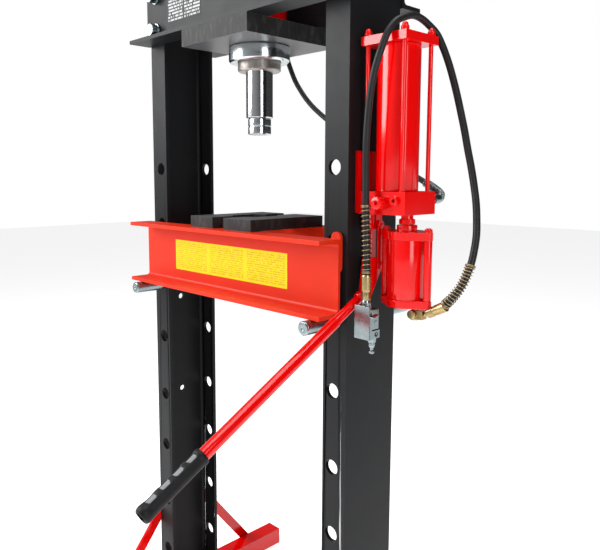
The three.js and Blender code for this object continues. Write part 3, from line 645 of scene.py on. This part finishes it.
# ---------------------------------------------------------------- pump: tank, rods, valves
def make_tank():
    low, high = span("oil_tank")
    centre = (low + high) / 2
    wall = rounded([(39, low.z), (42, low.z), (42, high.z), (39, high.z), (39, low.z)], 0.6)
    make("tank_shell", Solid((centre.x, centre.y, 0)).lathe(wall, 96), RED, "frame", ["oil_tank"])

    for node in sorted(n for n in NODES if n.startswith("tank_rod")):
        low, high = span(node)
        middle = (low + high) / 2
        cap_top = span("tank_cap")[1].z + 0.3
        solid = Solid((middle.x, middle.y, 0))
        solid.lathe(rounded([(0, low.z), (4.4, low.z), (4.4, cap_top + 3), (0, cap_top + 3)], 0.5), 28)
        hex_head(solid, 8, cap_top, cap_top + 8)
        angles = [i * math.pi / 20 for i in range(11)]
        dome = [(6.3 * math.cos(a), cap_top + 8.5 + 7.4 * math.sin(a)) for a in angles]
        solid.lathe([(0, cap_top + 6), (6.3, cap_top + 6), *dome[:-1], (0, dome[-1][1])], 40)
        make(node + "_fine", solid, RED, "frame", [node])


def make_valves():
    low, high = span("release_valve")
    centre = (low + high) / 2
    knob = Solid((centre.x, 0, centre.z), "y")
    stem = [(6, high.y), (6, low.y + 22), (9, low.y + 21.5), (9, low.y + 14), (10.5, low.y + 14)]
    rim = [(12.2, low.y + 13), (12.9, low.y + 11), (12.9, low.y + 3), (12.0, low.y + 0.8), (9.5, low.y)]
    cup = [(4.6, low.y), (4.1, low.y + 0.6), (4.1, low.y + 8), (0, low.y + 8)]
    knob.lathe([(0, high.y), *stem, *rim, *cup], 72)
    knurl_flutes(knob, 12.3, 12, 0.9, centre, low.y + 12)
    make("release_knob_fine", knob, RED, "release_knob", ["release_valve"])

    low, high = span("relief_plug")
    centre = (low + high) / 2
    plug = Solid((centre.x, 0, centre.z), "y")
    plug.lathe([(0, high.y), (6, high.y), (6, low.y + 7), (9, low.y + 7), (9, low.y + 0.8), (8.2, low.y),
                (4.4, low.y), (3.9, low.y + 0.5), (3.9, low.y + 4), (0, low.y + 4)], 48)
    make("relief_plug_fine", plug, RED, "frame", ["relief_plug"])
    # A thin near-black hexagon at the bottom of the plug's round cup is painted shade for a hex socket.
    socket = Solid((centre.x, 0, centre.z), "y").prism(hexagon(3.7), low.y + 3.2, low.y + 3.9)
    make("relief_plug_socket_shade", socket, DARK_SCREW_AND_SHADE, "frame")

    low, high = span("oil_hose_fitting")
    centre = (low + high) / 2
    fitting = Solid((centre.x, 0, centre.z), "y")
    start = low.y
    fitting.lathe([(0, start), (6, start), (6, start + 10.2), (0, start + 10.2)], 32)
    hex_head(fitting, 12, start + 10.3, start + 22)
    fitting.lathe(rounded([(0, start + 21), (8.4, start + 21), (8.4, high.y), (0, high.y)], 1.0), 40)
    make("oil_fitting_fine", fitting, ZINC, "frame", ["oil_hose_fitting"])


def knurl_flutes(solid, radius, count, depth, centre, limit):
    """Presses shallow flutes round the rim of a turned knob that lies along Y."""
    for v in solid.verts:
        reach = math.hypot(v.x - centre.x, v.z - centre.z)
        if reach > radius - 0.6 and v.y < limit:
            angle = math.atan2(v.z - centre.z, v.x - centre.x)
            dent = 1 - depth * (0.5 + 0.5 * math.cos(count * angle)) ** 2 / reach
            v.x, v.z = centre.x + (v.x - centre.x) * dent, centre.z + (v.z - centre.z) * dent


# ---------------------------------------------------------------- air motor
def make_motor():
    low, high = span("motor_barrel")
    centre = (low + high) / 2
    at = (centre.x, centre.y, 0)
    wall = rounded([(33.5, low.z), (36.5, low.z), (36.5, high.z), (33.5, high.z), (33.5, low.z)], 0.5)
    make("motor_shell", Solid(at).lathe(wall, 96), RED, "frame", ["motor_barrel"])

    plate = wrapped([(0, 0, 39.5), (-50, 0, 9), (50, 0, 9)])
    low, high = span("motor_top_cap")
    top = Solid(at).prism(plate, low.z, low.z + 16)
    top.lathe(disc(20.2, (low.z + 15, low.z + 28), 1.6), 64)
    hex_head(top, 16.4, low.z + 29.5, low.z + 40)
    top.lathe(disc(11.8, (low.z + 27, high.z), 0.6), 48)
    make("motor_top_fine", top, RED, "frame", ["motor_top_cap"], bevel=1.6)

    low, high = span("motor_bottom_cap")
    bottom = Solid(at).prism(plate, low.z, high.z)
    make("motor_bottom_fine", bottom, RED, "frame", ["motor_bottom_cap"], bevel=2.4)

    for side in ("inner", "outer"):
        low, high = span(f"motor_rod_{side}")
        middle = (low + high) / 2
        rod = Solid((middle.x, middle.y, 0))
        rod.lathe(disc(5, (low.z, high.z), 0.8), 32)
        rod.lathe(disc(8, (low.z + 15.3, low.z + 132.7), 0.8), 48)
        hex_head(rod, 8, high.z - 7.7, high.z - 2)
        make(f"motor_rod_{side}_fine", rod, RED, "frame", [f"motor_rod_{side}"])


def make_elbow():
    low, high = span("air_elbow")
    centre_y = span("motor_barrel")[0].y + 36.5
    x, z = 468, 973
    solid = Solid()
    arms = [("z", (x, centre_y, 0), (low.z, z)), ("y", (x, 0, z), (centre_y - 15, centre_y))]
    for axis, at, ends in arms:
        solid.at, solid.turn = Vector(at), AXIS_TURN[axis]
        solid.lathe(disc(9, ends, 1.6), 48)
    solid.at = Vector((x, centre_y, 0))
    solid.turn = AXIS_TURN["z"]
    solid.lathe([(0, z), (7, z), (7, high.z), (0, high.z)], 32)
    solid.at = Vector((0, 0, 0))
    solid.box((x, centre_y - 8.8, z - 8.8), (x + 22, centre_y + 8.8, z + 8.8))
    barb = [(x + 18, centre_y, z - 1), (x + 22, centre_y, z + 0.6), (x + 38, centre_y, z + 9.2)]
    solid.sweep(barb, 4.4, 20)
    make("elbow_fine", solid, BRASS, "frame", ["air_elbow"], bevel=1.2)


# ---------------------------------------------------------------- hand pump and handle
LEVER_X = 371
PIVOT, UPPER_PIN, DRIVE = (-8, 1063), (-8, 1144), (-36, 1072)
SOCKET = (-41.6, 1007.5)
SLOPE = math.radians(27.9)


def make_hand_pump():
    link = Solid((LEVER_X, 0, 0), "x")
    for low in (-12, 9):
        link.prism(wrapped([(*PIVOT, 10), (*UPPER_PIN, 10)], 48), low, low + 3)
    for y, z in (PIVOT, UPPER_PIN):
        link.at = Vector((LEVER_X, 0, 0))
        link.lathe(rounded([(0, -14), (6, -14), (6, 13), (0, 13)], 1.2), 32, (y, z))
    make("fulcrum_link_fine", link, RED, "frame", ["fulcrum_link"], bevel=0.6)

    low, high = span("pump_plunger")
    middle = (low + high) / 2
    profile = rounded([(0, low.z), (5.5, low.z), (7, low.z + 1.5), (7, high.z), (0, high.z)], 0.5)
    plunger = Solid((middle.x, middle.y, 0)).lathe(profile, 48)
    make("plunger_fine", plunger, CHROME, "plunger", ["pump_plunger"])


def make_handle():
    along = Matrix.Rotation(SLOPE, 3, "X")
    turned = along @ AXIS_TURN["y"]
    at = (LEVER_X, *SOCKET)

    def local(point):
        v = along.transposed() @ Vector((0, point[0] - SOCKET[0], point[1] - SOCKET[1]))
        return v.y, v.z

    socket = Solid(at, along @ AXIS_TURN["x"])
    socket.prism(wrapped([(*local(PIVOT), 13), (*local(DRIVE), 9), (0, 0, 13)], 64), -8, 8)
    socket.turn = turned
    socket.lathe(rounded([(0, -200), (9.5, -200), (9.5, -8), (0, -8)], 1.0), 48)
    socket.lathe(rounded([(9.4, -26), (12.5, -24), (13, -12), (9.4, -12)], 1.5), 48)
    make("handle_socket_fine", socket, RED, "handle", ["handle_socket"], bevel=1.2)

    tube = Solid(at, turned)
    tube.lathe(rounded([(9.8, -596), (11.5, -596), (11.5, -103), (9.8, -103), (9.8, -596)], 0.7), 64)
    make("handle_tube_fine", tube, RED, "handle", ["handle_tube"])
    make_grip(at, turned)


GRIP_START, GRIP_END = -470, -604
GRIP_SLOTS = [-489, -518, -547, -576]
SLOT_HALF, SLOT_SIDE, SLOT_DEPTH = 9.5, 10.0, 2.4
SLOT_TURN = math.radians(14)


def make_grip(at, turned):
    """Moulded rubber grip: ribbed collar, swollen end and a row of sunken finger slots on its upper side."""
    sides, step = 96, 1.5
    stations = [GRIP_START - k * step for k in range(int((GRIP_START - GRIP_END) / step))] + [GRIP_END]

    def radius(s):
        collar = 1.1 * math.exp(-((s - GRIP_START + 5) / 4.0) ** 2)
        tail = 1.0 * math.exp(-((s - GRIP_END - 9) / 6.0) ** 2)
        end = 2.0 * max(0.0, 1 - (s - GRIP_END) / 4.0) ** 2
        return 14.3 + collar + tail - end

    solid = Solid(at, turned)
    bore = [(0, -596.4), (11.8, -596.4), (11.8, GRIP_START)]
    recess = [(10.8, GRIP_END), (10.2, GRIP_END + 4), (0, GRIP_END + 4)]
    solid.lathe([*bore, *[(radius(s), s) for s in stations], *recess], sides)
    back = turned.transposed()

    def slot_share(p, slack):
        """Under 1 inside a finger slot, measured across the grip and along it."""
        side = (math.atan2(p.x, p.y) + SLOT_TURN) * 14.3
        along = min(abs(p.z - middle) for middle in GRIP_SLOTS)
        return (abs(side) / (SLOT_SIDE + slack)) ** 4 + (along / (SLOT_HALF + slack)) ** 4

    for v in solid.verts:
        p = back @ (v - Vector(at))
        reach = math.hypot(p.x, p.y)
        share = slot_share(p, 0.8)
        if reach > 13 and share < 1:
            sink = SLOT_DEPTH * min(1.0, (1 - share) * 2.5)
            p.xy = p.xy * (reach - sink) / reach
            v.xyz = turned @ p + Vector(at)

    # Faces inside the finger slots take the light grey painted sheen.
    def pick(centre):
        p = back @ (centre - Vector(at))
        return int(p.xy.length > 12.0 - SLOT_DEPTH and p.z > GRIP_END + 5 and slot_share(p, -0.6) < 1)

    make("handle_grip_fine", solid, GRIP, "handle", ["handle_grip"], extra=(GRIP_SLOT_SHEEN,), pick=pick)


# ---------------------------------------------------------------- hoses
AIR_HOSE_ROUTE = [
    (508.2, -6, 983.2), (521, -6, 990), (534, -6, 1000), (547, -7, 1012), (557, -4, 1026), (565, 2, 1042),
    (570, 10, 1061), (573, 19, 1083), (573, 28, 1107), (571, 37, 1133), (566, 45, 1162), (559, 53, 1193),
    (550, 59, 1226), (540, 64, 1260), (529, 68, 1295), (519, 71, 1331), (509, 72, 1367), (499, 72, 1403),
    (489, 71, 1437), (479, 69, 1468), (469, 65, 1496), (459, 58, 1521), (450, 42, 1538), (447, 20, 1547),
    (446, -4, 1549), (444, -27, 1543), (441, -52, 1531), (437, -69, 1511), (430, -79, 1481),
    (421, -84, 1448), (414, -86, 1415), (408, -85, 1382), (404, -84, 1350), (401, -83, 1316),
    (398, -80, 1280), (397, -78, 1243), (397, -77, 1194), (399, -77, 1146), (401, -77, 1098), (402, -77, 1052),
    (402, -77, 1030),
]
OIL_HOSE_ROUTE = [
    (452, 70.4, 1196), (451, 86, 1197), (448, 101, 1199), (441, 115, 1203), (430, 128, 1208), (404, 142, 1219),
    (375, 150, 1232), (346, 155, 1245), (316, 158, 1258), (286, 161, 1271), (257, 164, 1285), (228, 167, 1299),
    (199, 170, 1314), (170, 173, 1328), (141, 176, 1342), (112, 179, 1357), (83, 182, 1372), (55, 184, 1388),
    (27, 186, 1406), (1, 187, 1425), (-23, 187, 1447), (-45, 188, 1471), (-64, 187, 1497), (-80, 187, 1526),
    (-93, 186, 1556), (-102, 186, 1587), (-106, 186, 1619), (-106, 186, 1652), (-100, 186, 1684), (-88, 185, 1714),
    (-70, 182, 1740), (-46, 174, 1761), (-24, 162, 1775), (-11, 145, 1782), (-3, 124, 1784), (0, 101.4, 1784),
]


def smooth_line(route, steps=10):
    """Points along a centripetal Catmull-Rom curve through the route."""
    points = [Vector(p) for p in route]
    points = [2 * points[0] - points[1], *points, 2 * points[-1] - points[-2]]
    line = []
    for p0, p1, p2, p3 in zip(points, points[1:], points[2:], points[3:]):
        t0 = 0.0
        t1 = t0 + (p1 - p0).length ** 0.5
        t2 = t1 + (p2 - p1).length ** 0.5
        t3 = t2 + (p3 - p2).length ** 0.5
        for k in range(steps):
            t = t1 + (t2 - t1) * k / steps
            a1 = p0.lerp(p1, (t - t0) / (t1 - t0))
            a2 = p1.lerp(p2, (t - t1) / (t2 - t1))
            a3 = p2.lerp(p3, (t - t2) / (t3 - t2))
            b1 = a1.lerp(a2, (t - t0) / (t2 - t0))
            b2 = a2.lerp(a3, (t - t1) / (t3 - t1))
            line.append(b1.lerp(b2, (t - t1) / (t2 - t1)))
    return [*line, Vector(route[-1])]


def part_of(line, start, end, step=0.7):
    """Even points between two distances along a line, with the heading at each."""
    out, walked = [], 0.0
    want = start
    for a, b in zip(line, line[1:]):
        length = (b - a).length
        while want <= walked + length and want <= end:
            out.append((a.lerp(b, (want - walked) / length), (b - a).normalized()))
            want += step
        walked += length
    return out


def spring(name, line, start, end, coil, wire, pitch, material):
    """Coil spring guard wound round part of a hose, with a closed turn at each end."""
    track = part_of(line, start, end)
    helix, side, angle = [], None, 0.0
    step = (track[1][0] - track[0][0]).length
    for i, (point, ahead) in enumerate(track):
        side = ahead.orthogonal() if side is None else side - ahead * side.dot(ahead)
        side.normalize()
        other = ahead.cross(side)
        near_end = min(i, len(track) - 1 - i) * step
        angle += 2 * math.pi * step / (pitch if near_end > wire * 2.4 else wire * 1.15)
        helix.append((point, side.copy(), other, angle))
    wound = []
    for (p, s, o, a), (q, s2, o2, b) in zip(helix, helix[1:]):
        count = max(1, round((b - a) / (math.pi / 9)))
        for k in range(count):
            t = k / count
            turn = a + (b - a) * t
            across = s.lerp(s2, t) * math.cos(turn) + o.lerp(o2, t) * math.sin(turn)
            wound.append(p.lerp(q, t) + across * coil)
    return make(name, Solid().sweep(wound, wire / 2, 8), material, "frame", sharp=80)


def hose(name, route, diameter):
    line = smooth_line(route)
    curve = bpy.data.curves.new(name, "CURVE")
    curve.dimensions = "3D"
    curve.bevel_depth = diameter / 2 * MM
    curve.bevel_resolution = 7
    curve.use_fill_caps = True
    spline = curve.splines.new("POLY")
    spline.points.add(len(line) - 1)
    for point, spot in zip(spline.points, line):
        point.co = (*(spot * MM), 1)
    spline.use_smooth = True
    curve.materials.append(HOSE)
    piece = bpy.data.objects.new(name, curve)
    bpy.context.collection.objects.link(piece)
    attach(piece, "frame")
    return piece, line


GRIPPED = 6.6                 # bore of a sleeve, just inside the hose's skin


def sleeve(name, at, ahead, parts, material):
    """Ferrules and hexagons strung along a direction; parts are (kind, radius, low, high)."""
    solid = Solid(at, ahead.to_track_quat("Z", "Y").to_matrix())
    for kind, radius, low, high in parts:
        if kind == "hex":
            hex_head(solid, radius, low, high, chamfer_low=True)
        else:
            wall = [(GRIPPED, low), (radius, low), (radius, high), (GRIPPED, high), (GRIPPED, low)]
            solid.lathe(rounded(wall, 0.9), 48)
    return make(name, solid, material, "frame")


def make_hoses(valve_pieces):
    piece, line = hose("air_hose_fine", AIR_HOSE_ROUTE, 14)
    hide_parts("air_hose")
    length = sum((b - a).length for a, b in zip(line, line[1:]))
    start, ahead = part_of(line, 0, 2)[0]
    nut = sleeve("air_hose_nut", start, ahead, [
        ("hex", 10.4, -11, 4), ("tube", 9.2, 4, 8), ("tube", 10.2, 8, 32)], BRASS)
    low_guard = spring("elbow_guard", line, 32, 126, 9.2, 2.0, 6.2, SPRING_BRASS)
    top_guard = spring("valve_guard", line, length - 158, length - 24, 9.4, 2.0, 9.6, SPRING_BRASS)

    piece, line = hose("oil_hose_fine", OIL_HOSE_ROUTE, 13)
    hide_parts("oil_hose")
    start, ahead = part_of(line, 0, 2)[0]
    collar = sleeve("oil_hose_collar", start, ahead, [("tube", 9.8, 0, 22)], ZINC)
    guard = spring("oil_hose_guard", line, 22, 122, 8.8, 2.0, 4.8, ZINC)
    length = sum((b - a).length for a, b in zip(line, line[1:]))
    end, back = part_of(line, length - 2, length)[-1]
    far = sleeve("oil_hose_end", end, -back, [("tube", 9.8, 0, 26)], ZINC)


# ---------------------------------------------------------------- air valve on the hose
NIPPLE_OFFSET = (9, 8)


def make_air_valve():
    """Ferrule, block-shaped valve, quick-connect nipple and the folded sheet trigger in front of it."""
    low, high = span("air_valve_body")
    x, y = AIR_HOSE_ROUTE[-1][:2]
    bottom, top = low.z + 34, low.z + 98
    ferrule = Solid((x, y, 0))
    skirt = [
        (0, top + 28), (9.6, top + 28), (10.1, top + 31), (10.1, high.z - 3), (9, high.z), (0, high.z)]
    ferrule.lathe(rounded(skirt, 0.8), 56)
    ferrule.lathe([(0, top + 25), (8.2, top + 25), (8.2, top + 29), (0, top + 29)], 40)
    hex_head(ferrule, 9.8, top + 11, top + 26, chamfer_low=True)
    brass = make("valve_ferrule", ferrule, BRASS, "frame")

    body = Solid((x, y, 0))
    neck = [(0, top - 2), (8.8, top - 2), (8.8, top + 6), (7.4, top + 12), (0, top + 12)]
    body.lathe(rounded(neck, 1.0), 48)
    hex_head(body, 10.5, top - 8, top + 1)
    body.box((-9, -10, bottom + 18), (20, 15, top - 6))
    body.box((-7, -9, bottom), (21.5, 17, bottom + 16.5))
    body.lathe(disc(6, (bottom + 15, bottom + 19), 0.5), 32, (6, 3))
    for boss in (bottom + 7, bottom + 30):
        body.lathe([(0, boss), (3.4, boss), (3.4, boss + 5), (0, boss + 5)], 28, (19, 6))
    collar = [(0, bottom - 10), (8, bottom - 10), (8.6, bottom - 2), (8.6, bottom + 1), (0, bottom + 1)]
    body.lathe(rounded(collar, 1.0), 40, NIPPLE_OFFSET)
    nipple = rounded([
        (0, bottom - 34), (3.6, bottom - 34), (5.4, bottom - 32), (5.4, bottom - 28.5), (3.3, bottom - 26),
        (3.3, bottom - 22.5), (5.2, bottom - 20), (6.2, bottom - 17), (6.2, bottom - 9), (0, bottom - 9)], 0.6)
    body.lathe(nipple, 48, NIPPLE_OFFSET)
    steel = make("valve_body_fine", body, ZINC, "frame", ["air_valve_body"], bevel=0.7)

    # A thin near-black disc on the valve block's side is painted shade for a bore, not a part of its own.
    recess = Solid((x, y, 0), "x")
    recess.lathe([(0, 21.2), (4.6, 21.2), (4.6, 21.9), (0, 21.9)], 36, (6, bottom + 8))
    recess_shade = make("valve_recess_shade", recess, DARK_SCREW_AND_SHADE, "frame")

    lever = Solid((x, y, 0))
    lever.box((-13.5, -20, bottom), (25.5, -18.4, top + 2))
    lever.turn = AXIS_TURN["x"]
    flange = [
        (-20, bottom), (-10.5, bottom + 2), (-10.5, bottom + 17), (-13, bottom + 20), (-13, top - 8),
        (-20, top + 2)]
    for low_x in (-13.5, 23.9):
        lever.prism(flange, low_x, low_x + 1.6)
    tab = [(-20, top - 17), (-20, top - 18.6), (-2, top - 14), (-2, top - 12.4)]
    lever.prism(tab, 23.9, 35.5)
    lever.lathe([(0, -13.4), (2, -13.4), (2, 25.4), (0, 25.4)], 20, (-15, bottom + 6))
    make("valve_lever_fine", lever, ZINC, "valve_lever", ["air_valve_lever"], bevel=0.5)
    return [brass, steel, recess_shade]


# ---------------------------------------------------------------- studio
MIDDLE = (0.1, 0, 1.2)                   # what the lights point at


def area(name, at, size, power):
    data = bpy.data.lights.new(name, "AREA")
    data.shape = "RECTANGLE"
    data.size, data.size_y = size
    data.energy = power
    lamp = bpy.data.objects.new(name, data)
    bpy.context.collection.objects.link(lamp)
    lamp.location = at
    lamp.rotation_euler = (Vector(MIDDLE) - Vector(at)).to_track_quat("-Z", "Y").to_euler()


BRIGHT_SIDE = (-0.73, -0.68, 0.25)
ROOM_LIGHT = (-0.30, 1.0, 0.05, 0.40)    # from and to values of how far a ray points to the bright side
BACKDROP = 1.0
FLOOR_GLOW = 0.72
FLOOR_REACH = 14


def make_studio():
    bpy.context.scene.view_settings.view_transform = "Standard"
    world = bpy.data.worlds.new("studio")
    bpy.context.scene.world = world
    world.use_nodes = True
    tree = world.node_tree
    background = tree.nodes["Background"]
    spot = tree.nodes.new("ShaderNodeTexCoord").outputs["Generated"]
    toward = tree.nodes.new("ShaderNodeVectorMath")
    toward.operation = "DOT_PRODUCT"
    tree.links.new(spot, toward.inputs[0])
    toward.inputs[1].default_value = Vector(BRIGHT_SIDE).normalized()
    spread = tree.nodes.new("ShaderNodeMapRange")
    tree.links.new(toward.outputs["Value"], spread.inputs["Value"])
    for socket, value in zip(("From Min", "From Max", "To Min", "To Max"), ROOM_LIGHT):
        spread.inputs[socket].default_value = value
    seen = tree.nodes.new("ShaderNodeLightPath").outputs["Is Camera Ray"]
    level = tree.nodes.new("ShaderNodeMix")
    tree.links.new(seen, level.inputs[0])
    tree.links.new(spread.outputs["Result"], level.inputs[2])
    level.inputs[3].default_value = BACKDROP
    tree.links.new(level.outputs[0], background.inputs["Strength"])
    background.inputs["Color"].default_value = (1, 1, 1, 1)

    mesh = bpy.data.meshes.new("floor")
    corners = [(x * FLOOR_REACH, y * FLOOR_REACH, 0) for x, y in ((-1, -1), (1, -1), (1, 1), (-1, 1))]
    mesh.from_pydata(corners, [], [(0, 1, 2, 3)])
    floor = bpy.data.objects.new("floor", mesh)
    bpy.context.collection.objects.link(floor)
    pale = Tree("studio_floor")
    shade = pale.mix(pale.noise(1.5), (0.90, 0.90, 0.90), (0.93, 0.93, 0.93))
    mesh.materials.append(pale.finish(
        shade, Roughness=0.7, Emission_Color=(1, 1, 1, 1), Emission_Strength=FLOOR_GLOW))

    area("key", (-1.9, -2.2, 2.4), (2.2, 2.0), 125)
    area("top", (0.2, -0.2, 3.8), (2.6, 2.6), 78)
    area("side", (3.4, -1.2, 1.9), (1.2, 2.2), 44)


dress_frame()
make_bolts()
make_stickers()
make_bed_details()
make_cylinder()
make_tank()
make_valves()
make_motor()
make_elbow()
make_hand_pump()
make_handle()
make_hoses(make_air_valve())
make_studio()
